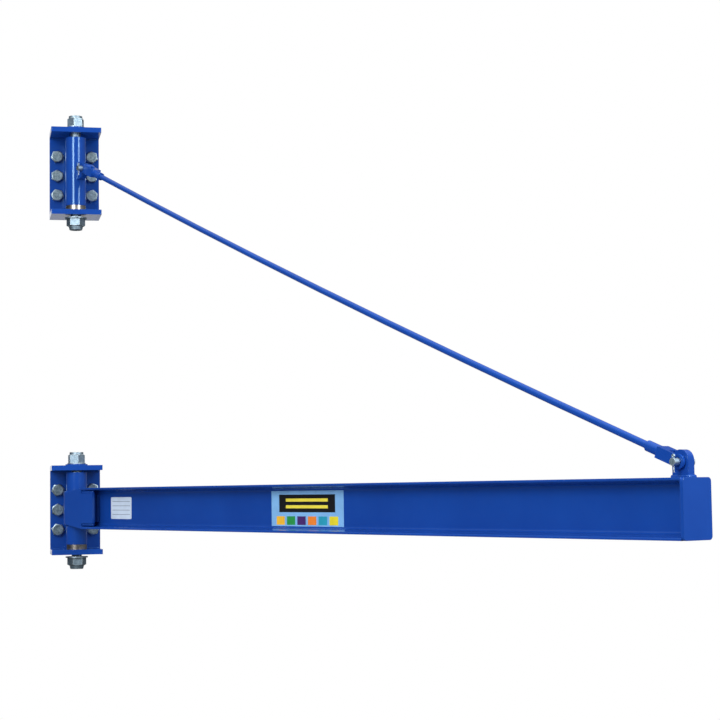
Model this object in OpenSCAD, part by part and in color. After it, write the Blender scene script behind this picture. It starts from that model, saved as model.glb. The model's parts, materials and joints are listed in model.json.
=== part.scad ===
// Wall-mounted tie-rod jib crane: two wall brackets with vertical pivot bolts, and a swinging
// boom of rolled I-beam hung from a tie rod.
// Millimetres, +Z up. The origin is the centre of the lower bracket's back face, on the wall
// plane y = 0, and the crane stands out from the wall towards -Y.

/* [Wall brackets] */
// Width of both brackets
bracket_w = 127; // [120:1:160]
// Height of both brackets, over their flanges
bracket_h = 225; // [215:1:260]
// Reach of the bracket flanges from the wall
bracket_d = 108; // [104:1:140]
// Thickness of the back plates
plate_t = 12.7; // [9:0.1:16]
// Thickness of the bracket flanges
flange_t = 12.7; // [9:0.1:16]
// Radius on the flanges' front corners
corner_r = 2; // [1:0.5:14]
// Height between the centres of the lower and the upper bracket
bracket_gap = 865; // [700:5:1100]

/* [Wall bolts] */
// Distance between the two columns of wall bolts
bolt_col = 88.9; // [84:0.1:92]
// Distance between neighbouring rows of wall bolts
bolt_row = 50.8; // [46:0.1:56]
// Diameter of the wall bolts' plain shanks
bolt_d = 19.05; // [16:0.05:20]
// Diameter of the wall bolts over their threads
bolt_thread_d = 18.6; // [15.5:0.1:19]
// Width of a wall bolt's hexagon head across its flats
bolt_flats = 28.6; // [26:0.1:30]
// Height of a wall bolt's head
bolt_head_h = 12; // [9:0.5:13]
// Length of a wall bolt under its head
bolt_len = 63.5; // [50:0.5:120]

/* [Pivots] */
// Distance of the pivot axis from the wall
pivot_out = 75; // [73:0.5:90]
// Diameter of the pivot bolts
pivot_d = 25.4; // [20:0.1:28]
// Width of a pivot bolt's hexagon head across its flats
pivot_flats = 38.1; // [34:0.1:42]
// Height of a pivot bolt's hexagon
pivot_head_h = 22; // [15:0.5:26]
// Diameter of the round crown on a pivot bolt's head
crown_d = 37.5; // [32:0.5:38]
// Height of the round crown on a pivot bolt's head
crown_h = 5.5; // [3:0.5:8]
// Width of the lock nut across its flats
nut_flats = 41.3; // [38:0.1:46]
// Height of the lock nut's hexagon
nut_hex_h = 20; // [14:0.5:24]
// Diameter of the lock nut's round collar
nut_collar_d = 37; // [32:0.5:38]
// Height of the lock nut's round collar
nut_collar_h = 8.5; // [5:0.5:12]
// Diameter of the large washers
washer_d = 56; // [48:0.5:58]
// Diameter of the small washer under the bolt head
head_washer_d = 46; // [44:0.5:50]
// Thickness of every pivot washer
washer_t = 3; // [2:0.1:4]
// Height by which a pivot bolt's nut hangs below its bracket
nut_drop = 5; // [0:0.5:8]
// Outside diameter of the pivot tubes
tube_d = 52; // [48:0.5:58]
// Wall thickness of the pivot tubes
tube_wall = 7; // [5:0.25:9]
// Clear height over the lower pivot tube, under its top flange
lower_tube_gap = 5; // [5:0.1:24]
// Clear height over the upper pivot tube, under its top flange
upper_tube_gap = 10.9; // [6:0.1:24]
// Length of a bearing bush at each end of a tube
bush_len = 32; // [20:1:40]
// Height of the thrust rings under the tubes
ring_h = 12.7; // [9:0.1:14]
// Step between a tube's side and the side of its thrust ring
ring_step = 0.5; // [0.25:0.25:3]

/* [Boom] */
// Angle that the boom is swung from square to the wall
swing = 25; // [15:1:35]
// Length from the pivot axis to the boom's tip
boom_len = 2082; // [1800:2:2400]
// Height of the boom's centre over the lower bracket's centre
boom_z = 4; // [0:0.5:6]
// Depth of the beam
beam_h = 101.6; // [100:0.1:104]
// Width of the beam's flanges
beam_w = 67.6; // [66.4:0.1:69]
// Mean thickness of the beam's flanges
beam_flange_t = 7.4; // [6.6:0.1:7.8]
// Thickness of the beam's web
beam_web_t = 4.9; // [4.5:0.1:8]
// Radius of the fillets between web and flanges
root_r = 6.9; // [4:0.1:8]
// Radius on the flanges' toes
toe_r = 2.8; // [1:0.1:3.2]
// Distance from the pivot axis to the beam's inner end
beam_start = 82; // [78:1:95]
// Thickness of the end cap
cap_t = 6.35; // [4:0.05:10]
// Radius on the end cap's corners
cap_r = 7; // [2:0.5:12]

/* [Tube strap] */
// Thickness of the strap that wraps the lower tube
strap_t = 6.35; // [5:0.05:6.6]
// Distance from the pivot axis to the strap's free ends
strap_reach = 141; // [130:1:150]
// Height of the strap where it wraps the tube
strap_tube_h = 79; // [70:1:84]
// Height of the strap's legs between the beam's flanges
strap_leg_h = 74; // [66:1:80]
// Distance of the filler plates' front faces from the strap's free ends
filler_in = 23; // [15:0.5:30]

/* [Tie rod] */
// Diameter of the tie rod
rod_d = 12.7; // [10:0.1:16]
// Sag of the tie rod's middle below its two pins
rod_sag = 12; // [6:0.5:20]
// Thickness of the two lugs
lug_t = 14.3; // [12:0.1:16]
// Width of the tip lug
tip_lug_w = 35; // [32:0.5:40]
// Height of the tip lug over the beam
tip_lug_h = 45.4; // [43:0.1:48]
// Height of the tip pin over the beam
tip_pin_h = 25.4; // [22:0.1:32]
// Distance from the tip pin to the boom's tip
tip_pin_in = 28.5; // [26:0.5:60]
// Distance from the pivot axis to the head pin
head_pin_out = 58; // [54:0.5:62]
// Height of the head lug on the upper tube
head_lug_h = 44; // [40:1:60]
// Diameter of the clevis pins
pin_d = 12.7; // [10:0.1:14]
// Length of a clevis pin beyond its yoke, at the cotter's end
pin_over = 12.4; // [9:0.1:14]
// Diameter of a clevis pin's head
pin_head_d = 19; // [17:0.5:22]
// Thickness of a clevis pin's head
pin_head_h = 5; // [3:0.5:6]
// Diameter of the yokes' round eyes
eye_d = 25; // [22:0.5:28]
// Height of a yoke's fork behind its eyes
yoke_h = 20; // [18:0.5:22]
// Thickness of each ear
ear_t = 5.5; // [5:0.25:7.5]
// Length from a pin to the end of its yoke's fork
fork_len = 55; // [48:1:62]
// Length from a pin to the bottom of the fork's slot
slot_len = 29; // [24:1:36]
// Diameter of a yoke's round neck
neck_d = 19; // [16:0.5:20]
// Length of a yoke's round neck
neck_len = 26; // [18:1:32]
// Length of the rod's end inside a yoke's neck
rod_seat = 12; // [8:0.5:14]

/* [Fits] */
// Clearance around a pivot bolt in its bushes, on the radius
run_fit = 0.06; // [0.03:0.01:0.1]
// Clearance around a bolt in a plain hole, on the radius
hole_fit = 0.5; // [0.3:0.1:0.8]
// Clearance between pieces that are welded or screwed together
joint_fit = 0.1; // [0.05:0.01:0.2]
// Clearance of a lug in its fork, each side
fork_fit = 0.8; // [0.3:0.1:1.2]

/* [Hidden] */

steel_blue = [0.11, 0.30, 0.62];
zinc = [0.72, 0.75, 0.76];
bare_steel = [0.52, 0.50, 0.47];
bronze = [0.62, 0.47, 0.26];

hex_share = 0.9;
crown_taper = 3;
collar_taper = 5;
nut_tip_d = nut_collar_d - collar_taper;
first_turn = 15;
row_turn = 20;
column_turn = 30;
bolt_inset = 3;
inner_half = bracket_h / 2 - flange_t;
tube_bottom = -inner_half + ring_h;
tube_space = 2 * inner_half - ring_h;
upper_tube_mid = tube_bottom + (tube_space - upper_tube_gap) / 2;
ring_d = tube_d - 2 * ring_step;
bush_r = pivot_d / 2 + run_fit;
hole_r = pivot_d / 2 + hole_fit;
stack_h = 2 * washer_t;

half_w = beam_w / 2;
half_web = beam_web_t / 2;
flange_mid = (half_w + half_web) / 2;
toe_slope = 1 / 6;
slope_len = sqrt(1 + toe_slope * toe_slope);

tip_pin_x = boom_len - tip_pin_in;
tip_pin_z = boom_z + beam_h / 2 + tip_pin_h;
head_pin_z = bracket_gap + upper_tube_mid;
lower_head_turn = -21;
upper_head_turn = 15;
lower_nut_turn = 3;
upper_nut_turn = -10;

pins_x = tip_pin_x - head_pin_out;
pins_z = head_pin_z - tip_pin_z;
pins_len = norm([pins_x, pins_z]);
pins_slope = atan2(pins_z, pins_x);
sag_r = pins_len * pins_len / (8 * rod_sag) + rod_sag / 2;
sag_half = asin(pins_len / 2 / sag_r);
rod_start = fork_len + neck_len - rod_seat;
bore_spare = 4;
fork_w = lug_t + 2 * fork_fit + 2 * ear_t;
pin_len = fork_w + pin_over;
shoulder_len = 5;
lug_swell = 6;
cotter_d = 2.8;
cotter_eye_r = 2.2;
cotter_leg = 10;
cotter_spread = 8;
cotter_in = 3;
thread_tip = 1.5;

// Places children in the boom's frame: +X along the boom, origin on the pivot axis.
module boom_frame(z = 0) {
    translate([0, -pivot_out, z]) rotate([0, 0, swing - 90]) children();
}

// Extrudes an outline drawn in the boom's side view, X along it and Y up, to a centred thickness.
module side_plate(thickness) {
    rotate([90, 0, 0]) linear_extrude(height = thickness, center = true) children();
}

// A hexagon prism with its far edge chamfered, standing on z = 0.
module hex_head(flats, height) {
    chamfer = flats / 2 * (2 / sqrt(3) - hex_share);
    intersection() {
        cylinder(d = flats * 2 / sqrt(3), h = height, $fn = 6);
        rotate_extrude($fn = 64)
            polygon([
                [0, 0],
                [flats / sqrt(3) + 1, 0],
                [flats / sqrt(3) + 1, height - chamfer / 2 - 0.5],
                [flats / 2 * hex_share, height],
                [0, height],
            ]);
    }
}

// A plain ring standing on z = 0.
module ring(outer_d, inner_r, height) {
    difference() {
        cylinder(d = outer_d, h = height, $fn = 96);
        translate([0, 0, -1]) cylinder(r = inner_r, h = height + 2, $fn = 96);
    }
}

// ---- Wall brackets, drawn about their own centre on the wall ----

module back_plate() {
    color(steel_blue)
        difference() {
            translate([-bracket_w / 2, -plate_t, -bracket_h / 2])
                cube([bracket_w, plate_t, bracket_h]);
            for (col = [-0.5, 0.5])
                for (row = [-1, 0, 1])
                    translate([col * bolt_col, 1, row * bolt_row])
                        rotate([90, 0, 0]) cylinder(d = bolt_d + 2 * hole_fit, h = plate_t + 2, $fn = 64);
        }
}

// Outline of a bracket flange, seen from above.
module flange_outline() {
    difference() {
        union() {
            translate([-bracket_w / 2, -bracket_d + corner_r])
                square([bracket_w, bracket_d - corner_r - plate_t]);
            translate([-bracket_w / 2 + corner_r, -bracket_d])
                square([bracket_w - 2 * corner_r, corner_r + 1]);
            for (side = [-1, 1])
                translate([side * (bracket_w / 2 - corner_r), -bracket_d + corner_r])
                    circle(r = corner_r, $fn = 48);
        }
        translate([0, -pivot_out]) circle(r = hole_r, $fn = 96);
    }
}

module bracket_flange(bottom) {
    color(steel_blue)
        translate([0, 0, bottom]) linear_extrude(height = flange_t) flange_outline();
}

// One wall bolt from the back plate's front face: its head, the shank in the plate and the thread
// behind it, with a chamfered end.
module wall_bolt(turn) {
    rotate([90, turn, 0]) hex_head(bolt_flats, bolt_head_h);
    rotate([-90, 0, 0]) {
        cylinder(d = bolt_d, h = plate_t, $fn = 64);
        cylinder(d = bolt_thread_d, h = bolt_len - thread_tip, $fn = 64);
        translate([0, 0, bolt_len - thread_tip])
            cylinder(d1 = bolt_thread_d, d2 = bolt_thread_d - 2 * thread_tip, h = thread_tip, $fn = 64);
    }
}

module wall_bolts() {
    color(zinc)
        for (col = [-0.5, 0.5])
            for (row = [-1, 0, 1])
                translate([col * bolt_col, -plate_t, row * bolt_row])
                    wall_bolt(first_turn + row_turn * row - column_turn * col);
}

// The pivot bolt hangs by its head from the washers on top, and ends inside its nut.
module pivot_bolt(turn) {
    tip = -bracket_h / 2 - nut_drop - washer_t - nut_hex_h - nut_collar_h + bolt_inset;
    color(zinc) {
        translate([0, -pivot_out, bracket_h / 2 + stack_h]) {
            rotate([0, 0, turn]) hex_head(pivot_flats, pivot_head_h);
            cylinder(d1 = crown_d, d2 = crown_d - crown_taper, h = pivot_head_h + crown_h, $fn = 96);
        }
        translate([0, -pivot_out, tip])
            cylinder(d = pivot_d, h = bracket_h / 2 + stack_h - tip, $fn = 96);
    }
}

module seat_washer() {
    color(steel_blue)
        translate([0, -pivot_out, bracket_h / 2]) ring(washer_d, hole_r, washer_t);
}

module zinc_washers() {
    color(zinc) {
        translate([0, -pivot_out, bracket_h / 2 + washer_t]) ring(head_washer_d, hole_r, washer_t);
        translate([0, -pivot_out, -bracket_h / 2 - nut_drop - washer_t]) ring(washer_d, hole_r, washer_t);
    }
}

// Hexagon nut with a round collar below, opened for the bolt's end.
module lock_nut(turn) {
    color(zinc)
        translate([0, -pivot_out, -bracket_h / 2 - nut_drop - washer_t])
            difference() {
                union() {
                    rotate([180, 0, turn]) hex_head(nut_flats, nut_hex_h);
                    translate([0, 0, -nut_hex_h - nut_collar_h])
                        cylinder(d1 = nut_tip_d, d2 = nut_collar_d, h = nut_collar_h + 1, $fn = 96);
                }
                translate([0, 0, -nut_hex_h - nut_collar_h - 1])
                    cylinder(r = pivot_d / 2 + joint_fit, h = nut_hex_h + nut_collar_h + 2, $fn = 96);
            }
}

module thrust_ring() {
    color(bare_steel)
        translate([0, -pivot_out, -inner_half]) ring(ring_d, bush_r, ring_h);
}

// A pivot tube that leaves the given clear height under the top flange.
module pivot_tube(gap) {
    color(steel_blue)
        translate([0, -pivot_out, tube_bottom])
            ring(tube_d, tube_d / 2 - tube_wall, tube_space - gap);
}

// Two bearing bushes, one pressed in each end of a tube.
module tube_bushes(gap) {
    color(bronze)
        for (base = [tube_bottom, tube_bottom + tube_space - gap - bush_len])
            translate([0, -pivot_out, base]) ring(tube_d - 2 * tube_wall, bush_r, bush_len);
}

// ---- Boom ----

// Height of a flange's inner face over the beam's centre, at a distance across from the web's middle.
function inner_face(across) = beam_h / 2 - beam_flange_t - (flange_mid - across) * toe_slope;

// The hollow on one side of the web, between the flanges' sloped faces, with round roots.
module beam_channel() {
    root_x = half_web + root_r;
    root_z = inner_face(root_x) - root_r * slope_len;
    tangent_x = root_x - root_r * toe_slope / slope_len;
    polygon([
        [half_web, -root_z],
        [half_web, root_z],
        [root_x, root_z],
        [tangent_x, inner_face(tangent_x)],
        [half_w + 1, inner_face(half_w + 1)],
        [half_w + 1, -inner_face(half_w + 1)],
        [tangent_x, -inner_face(tangent_x)],
        [root_x, -root_z],
    ]);
    for (end = [-1, 1])
        translate([root_x, end * root_z]) circle(r = root_r, $fn = 64);
}

// What the rounding takes off one flange toe.
module toe_cut() {
    toe_x = half_w - toe_r;
    toe_z = inner_face(toe_x) + toe_r * slope_len;
    difference() {
        polygon([
            [toe_x, toe_z],
            [toe_x + 2 * toe_r * toe_slope / slope_len, toe_z - 2 * toe_r / slope_len],
            [half_w + 1, toe_z - 2 * toe_r / slope_len],
            [half_w + 1, toe_z],
        ]);
        translate([toe_x, toe_z]) circle(r = toe_r, $fn = 48);
    }
}

module beam_section() {
    difference() {
        square([beam_w, beam_h], center = true);
        for (flip = [0, 1])
            mirror([flip, 0]) {
                beam_channel();
                toe_cut();
                mirror([0, 1]) toe_cut();
            }
    }
}

module boom_beam() {
    color(steel_blue)
        boom_frame(boom_z)
            translate([beam_start, 0, 0])
                rotate([90, 0, 90])
                    linear_extrude(height = boom_len - cap_t - beam_start) beam_section();
}

module end_cap() {
    color(steel_blue)
        boom_frame(boom_z)
            translate([boom_len - cap_t, 0, 0])
                rotate([90, 0, 90])
                    linear_extrude(height = cap_t)
                        union() {
                            square([beam_w - 2 * cap_r, beam_h], center = true);
                            square([beam_w, beam_h - 2 * cap_r], center = true);
                            for (side = [-1, 1])
                                for (end = [-1, 1])
                                    translate([side * (half_w - cap_r), end * (beam_h / 2 - cap_r)])
                                        circle(r = cap_r, $fn = 48);
                        }
}

// U-shaped strap around the lower tube. Its two legs flare to the depth of the beam where they butt
// against the flanges' ends, and reach on between the flanges.
module tube_strap() {
    inner_r = tube_d / 2 + joint_fit;
    outer_r = inner_r + strap_t;
    flare_end = beam_start - joint_fit;
    color(steel_blue)
        boom_frame(boom_z)
            intersection() {
                linear_extrude(height = beam_h + 2, center = true)
                    difference() {
                        union() {
                            circle(r = outer_r, $fn = 128);
                            translate([0, -outer_r]) square([strap_reach, 2 * outer_r]);
                        }
                        circle(r = inner_r, $fn = 128);
                        translate([0, -inner_r]) square([strap_reach + 1, 2 * inner_r]);
                    }
                side_plate(2 * outer_r + 2)
                    polygon([
                        [-outer_r - 1, -strap_tube_h / 2],
                        [0, -strap_tube_h / 2],
                        [flare_end, -beam_h / 2],
                        [flare_end, -strap_leg_h / 2],
                        [strap_reach, -strap_leg_h / 2],
                        [strap_reach, strap_leg_h / 2],
                        [flare_end, strap_leg_h / 2],
                        [flare_end, beam_h / 2],
                        [0, strap_tube_h / 2],
                        [-outer_r - 1, strap_tube_h / 2],
                    ]);
            }
}

// Plates that close the gap between the web and each strap leg.
module strap_fillers() {
    reach = tube_d / 2 - half_web - joint_fit;
    half_h = inner_face(half_web) - root_r;
    color(steel_blue)
        boom_frame(boom_z)
            for (side = [-1, 1])
                translate([strap_reach - filler_in - strap_t, side * (half_web + joint_fit + reach / 2), 0])
                    translate([0, -reach / 2, -half_h]) cube([strap_t, reach, 2 * half_h]);
}

// ---- Tie rod and its ends ----

// Lug welded on the beam's top, round over its pin.
module tip_lug() {
    round_z = tip_lug_h - tip_lug_w / 2 - tip_pin_h;
    color(steel_blue)
        boom_frame(tip_pin_z)
            translate([tip_pin_x, 0, 0])
                side_plate(lug_t)
                    difference() {
                        union() {
                            translate([0, round_z]) circle(d = tip_lug_w, $fn = 96);
                            translate([-tip_lug_w / 2, -tip_pin_h])
                                square([tip_lug_w, tip_pin_h + round_z]);
                        }
                        circle(d = pin_d + 2 * hole_fit, $fn = 64);
                    }
}

// Lug on the upper tube, hollowed to the tube's round wall.
module head_lug() {
    nose_r = eye_d / 2;
    color(steel_blue)
        boom_frame(head_pin_z)
            difference() {
                side_plate(lug_t)
                    difference() {
                        union() {
                            translate([head_pin_out, 0]) circle(r = nose_r, $fn = 96);
                            polygon([
                                [0, -head_lug_h / 2],
                                [tube_d / 2 + lug_swell, -head_lug_h / 2],
                                [head_pin_out, -nose_r],
                                [head_pin_out, nose_r],
                                [tube_d / 2 + lug_swell, head_lug_h / 2],
                                [0, head_lug_h / 2],
                            ]);
                        }
                        translate([head_pin_out, 0]) circle(d = pin_d + 2 * hole_fit, $fn = 64);
                    }
                cylinder(r = tube_d / 2 + joint_fit, h = head_lug_h + 2, center = true, $fn = 128);
            }
}

// A forked yoke with its pin at the origin and its neck towards +X.
module yoke() {
    color(steel_blue)
        difference() {
            union() {
                side_plate(fork_w)
                    union() {
                        circle(d = eye_d, $fn = 96);
                        translate([0, -yoke_h / 2]) square([fork_len - shoulder_len, yoke_h]);
                    }
                translate([fork_len - shoulder_len, 0, 0])
                    rotate([0, 90, 0]) cylinder(d1 = yoke_h, d2 = neck_d, h = shoulder_len, $fn = 96);
                translate([fork_len - 1, 0, 0])
                    rotate([0, 90, 0]) cylinder(d = neck_d, h = neck_len + 1, $fn = 96);
            }
            translate([-eye_d, -lug_t / 2 - fork_fit, -eye_d])
                cube([eye_d + slot_len, lug_t + 2 * fork_fit, 2 * eye_d]);
            rotate([90, 0, 0]) cylinder(d = pin_d + 2 * hole_fit, h = fork_w + 2, center = true, $fn = 64);
            translate([rod_start - bore_spare, 0, 0])
                rotate([0, 90, 0]) cylinder(r = rod_d / 2 + 2 * joint_fit, h = fork_len, $fn = 64);
        }
}

// Clevis pin across the boom, its head on the side that faces +Y of the boom's frame.
module clevis_pin() {
    color(zinc)
        rotate([90, 0, 0]) {
            difference() {
                translate([0, 0, -fork_w / 2]) cylinder(d = pin_d, h = pin_len, $fn = 64);
                translate([0, 0, pin_len - fork_w / 2 - cotter_in])
                    rotate([90, 0, 0])
                        cylinder(d = cotter_d + 2 * joint_fit, h = 2 * pin_d, center = true, $fn = 32);
            }
            translate([0, 0, -fork_w / 2 - pin_head_h]) cylinder(d = pin_head_d, h = pin_head_h, $fn = 64);
        }
}

// Cotter through the clevis pin's free end: an eye above and two bent legs below.
module cotter() {
    top = pin_d / 2 + 1;
    color(zinc)
        translate([0, -(pin_len - fork_w / 2 - cotter_in), 0]) {
            translate([0, 0, -top]) cylinder(d = cotter_d, h = 2 * top, $fn = 32);
            translate([0, 0, top + cotter_eye_r])
                rotate([90, 0, 0])
                    rotate_extrude($fn = 48) translate([cotter_eye_r, 0]) circle(d = cotter_d, $fn = 24);
            for (side = [-1, 1])
                translate([0, 0, -top]) rotate([0, side * cotter_spread, 0])
                    translate([0, 0, -cotter_leg]) cylinder(d = cotter_d / 2, h = cotter_leg, $fn = 24);
        }
}

// Turns children from the boom's frame at a pin to the rod's direction there.
module at_tip_pin() {
    boom_frame(tip_pin_z) translate([tip_pin_x, 0, 0]) children();
}

module at_head_pin() {
    boom_frame(head_pin_z) translate([head_pin_out, 0, 0]) children();
}

module tip_yoke() {
    at_tip_pin() rotate([0, 180 + pins_slope - sag_half, 0]) yoke();
}

module head_yoke() {
    at_head_pin() rotate([0, pins_slope + sag_half, 0]) yoke();
}

// The rod hangs as a shallow arc through both pins, and stops inside the yokes' necks.
module tie_rod() {
    end_turn = asin(rod_start / sag_r);
    color(steel_blue)
        boom_frame((head_pin_z + tip_pin_z) / 2)
            translate([(head_pin_out + tip_pin_x) / 2, 0, 0])
                rotate([0, pins_slope, 0])
                    translate([0, 0, sag_r - rod_sag])
                        rotate([90, 0, 0])
                            rotate([0, 0, -90 - sag_half + end_turn])
                                rotate_extrude(angle = 2 * (sag_half - end_turn), $fn = 4096)
                                    translate([sag_r, 0]) circle(d = rod_d, $fn = 64);
}

back_plate();  // lower_back_plate
bracket_flange(inner_half);  // lower_top_flange
bracket_flange(-bracket_h / 2);  // lower_bottom_flange
wall_bolts();  // lower_wall_bolts
pivot_bolt(lower_head_turn);  // lower_pivot_bolt
seat_washer();  // lower_seat_washer
zinc_washers();  // lower_washers
lock_nut(lower_nut_turn);  // lower_lock_nut
thrust_ring();  // lower_thrust_ring
translate([0, 0, bracket_gap]) back_plate();  // upper_back_plate
translate([0, 0, bracket_gap]) bracket_flange(inner_half);  // upper_top_flange
translate([0, 0, bracket_gap]) bracket_flange(-bracket_h / 2);  // upper_bottom_flange
translate([0, 0, bracket_gap]) wall_bolts();  // upper_wall_bolts
translate([0, 0, bracket_gap]) pivot_bolt(upper_head_turn);  // upper_pivot_bolt
translate([0, 0, bracket_gap]) seat_washer();  // upper_seat_washer
translate([0, 0, bracket_gap]) zinc_washers();  // upper_washers
translate([0, 0, bracket_gap]) lock_nut(upper_nut_turn);  // upper_lock_nut
translate([0, 0, bracket_gap]) thrust_ring();  // upper_thrust_ring
pivot_tube(lower_tube_gap);  // lower_pivot_tube
tube_bushes(lower_tube_gap);  // lower_bushes
translate([0, 0, bracket_gap]) pivot_tube(upper_tube_gap);  // upper_pivot_tube
translate([0, 0, bracket_gap]) tube_bushes(upper_tube_gap);  // upper_bushes
boom_beam();
tube_strap();
strap_fillers();
end_cap();
tip_lug();
tip_yoke();
at_tip_pin() clevis_pin();  // tip_pin
at_tip_pin() cotter();  // tip_cotter
head_lug();
head_yoke();
at_head_pin() clevis_pin();  // head_pin
at_head_pin() cotter();  // head_cotter
tie_rod();
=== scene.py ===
"""A wall-mounted tie-rod jib crane, dressed in its paint, plating, welds, threads and plates."""

import json
import logging
import math
from dataclasses import dataclass, field
from enum import Enum

import bmesh
import bpy
from mathutils import Euler, Matrix, Vector


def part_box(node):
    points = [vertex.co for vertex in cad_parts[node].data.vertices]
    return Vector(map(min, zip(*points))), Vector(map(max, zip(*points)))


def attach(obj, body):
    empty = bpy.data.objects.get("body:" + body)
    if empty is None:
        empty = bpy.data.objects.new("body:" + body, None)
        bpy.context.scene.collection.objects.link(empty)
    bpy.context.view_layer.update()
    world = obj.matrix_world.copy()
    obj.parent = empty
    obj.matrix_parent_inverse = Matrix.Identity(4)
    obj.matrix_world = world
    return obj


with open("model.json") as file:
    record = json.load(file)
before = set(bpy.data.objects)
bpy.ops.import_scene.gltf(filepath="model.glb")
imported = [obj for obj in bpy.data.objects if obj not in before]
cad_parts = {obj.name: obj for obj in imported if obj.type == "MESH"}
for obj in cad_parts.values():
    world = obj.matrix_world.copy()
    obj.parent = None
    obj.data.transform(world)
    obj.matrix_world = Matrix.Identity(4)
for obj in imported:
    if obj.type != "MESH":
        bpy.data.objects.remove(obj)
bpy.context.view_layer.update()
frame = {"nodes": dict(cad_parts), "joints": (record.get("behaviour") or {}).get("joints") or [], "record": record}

LOG = logging.getLogger("jib_crane")
Colour = tuple[float, float, float, float]
Places = list[Vector]
BEVEL_SAMPLES = 4
EDGE_COSINES = (0.99, 0.80)


class Body(Enum):
    """The two bodies that pieces ride on."""

    BRACKETS = "wall_brackets"
    JIB = "jib"


class Bracket(Enum):
    """The two wall brackets, by the first word of their nodes' names."""

    LOWER = "lower"
    UPPER = "upper"


class Side(Enum):
    """The two sides of the boom. The printed plates are on the near one."""

    NEAR = -1
    FAR = 1


def srgb(red: int, green: int, blue: int) -> Colour:
    """Turns a display colour of 0 to 255 into the linear colour that shaders take.

    Args:
        red: Red, 0 to 255.
        green: Green, 0 to 255.
        blue: Blue, 0 to 255.

    Returns:
        The linear colour, with alpha 1.
    """

    def linear(level: int) -> float:
        """Gives one channel's linear value."""
        share = level / 255
        return share / 12.92 if share <= 0.04045 else ((share + 0.055) / 1.055) ** 2.4

    return (linear(red), linear(green), linear(blue), 1.0)


# ---------------------------------------------------------------- shader graphs


class NodeGraph:
    """A shader node tree, with short calls that add nodes and join them."""

    def __init__(self, tree: bpy.types.NodeTree) -> None:
        """Takes the tree that nodes are added to."""
        self.tree = tree

    def add(self, kind: str, **settings: object) -> bpy.types.Node:
        """Adds a node.

        Args:
            kind: The node's type.
            **settings: Attributes to set on it.

        Returns:
            The new node.
        """
        node = self.tree.nodes.new(kind)
        for key, value in settings.items():
            setattr(node, key, value)
        return node

    def join(self, source: object, target: bpy.types.NodeSocket) -> None:
        """Links a socket to another, or writes a plain value into it.

        Args:
            source: An output socket, or a number or colour.
            target: The input socket.
        """
        if isinstance(source, bpy.types.NodeSocket):
            self.tree.links.new(source, target)
        else:
            target.default_value = source

    def spread(self, value: object, low: float, high: float,
               to_low: float = 0.0, to_high: float = 1.0) -> bpy.types.NodeSocket:
        """Maps a range of a value onto another range, clamped.

        Args:
            value: The value.
            low: Start of its range.
            high: End of its range.
            to_low: What the start becomes.
            to_high: What the end becomes.

        Returns:
            The mapped value.
        """
        node = self.add("ShaderNodeMapRange")
        self.join(value, node.inputs["Value"])
        for key, number in (("From Min", low), ("From Max", high),
                            ("To Min", to_low), ("To Max", to_high)):
            node.inputs[key].default_value = number
        return node.outputs["Result"]

    def math(self, operation: str, first: object, second: object = 0.0) -> bpy.types.NodeSocket:
        """Adds a math node.

        Args:
            operation: Its operation.
            first: Its first value.
            second: Its second value.

        Returns:
            The result.
        """
        node = self.add("ShaderNodeMath", operation=operation)
        self.join(first, node.inputs[0])
        self.join(second, node.inputs[1])
        return node.outputs[0]

    def lerp(self, share: object, first: object, second: object) -> bpy.types.NodeSocket:
        """Mixes two numbers.

        Args:
            share: How much of the second.
            first: The first number.
            second: The second number.

        Returns:
            The mixed number.
        """
        node = self.add("ShaderNodeMix", data_type="FLOAT")
        self.join(share, node.inputs[0])
        self.join(first, node.inputs[2])
        self.join(second, node.inputs[3])
        return node.outputs[0]

    def rays(self) -> tuple[bpy.types.NodeSocket, bpy.types.NodeSocket]:
        """Tells rays that look straight at something from rays that mirror it.

        Returns:
            1 for camera and transmission rays, and 1 for glossy rays.
        """
        path = self.add("ShaderNodeLightPath")
        seen = self.math("MAXIMUM", path.outputs["Is Camera Ray"], path.outputs["Is Transmission Ray"])
        return seen, path.outputs["Is Glossy Ray"]


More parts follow.
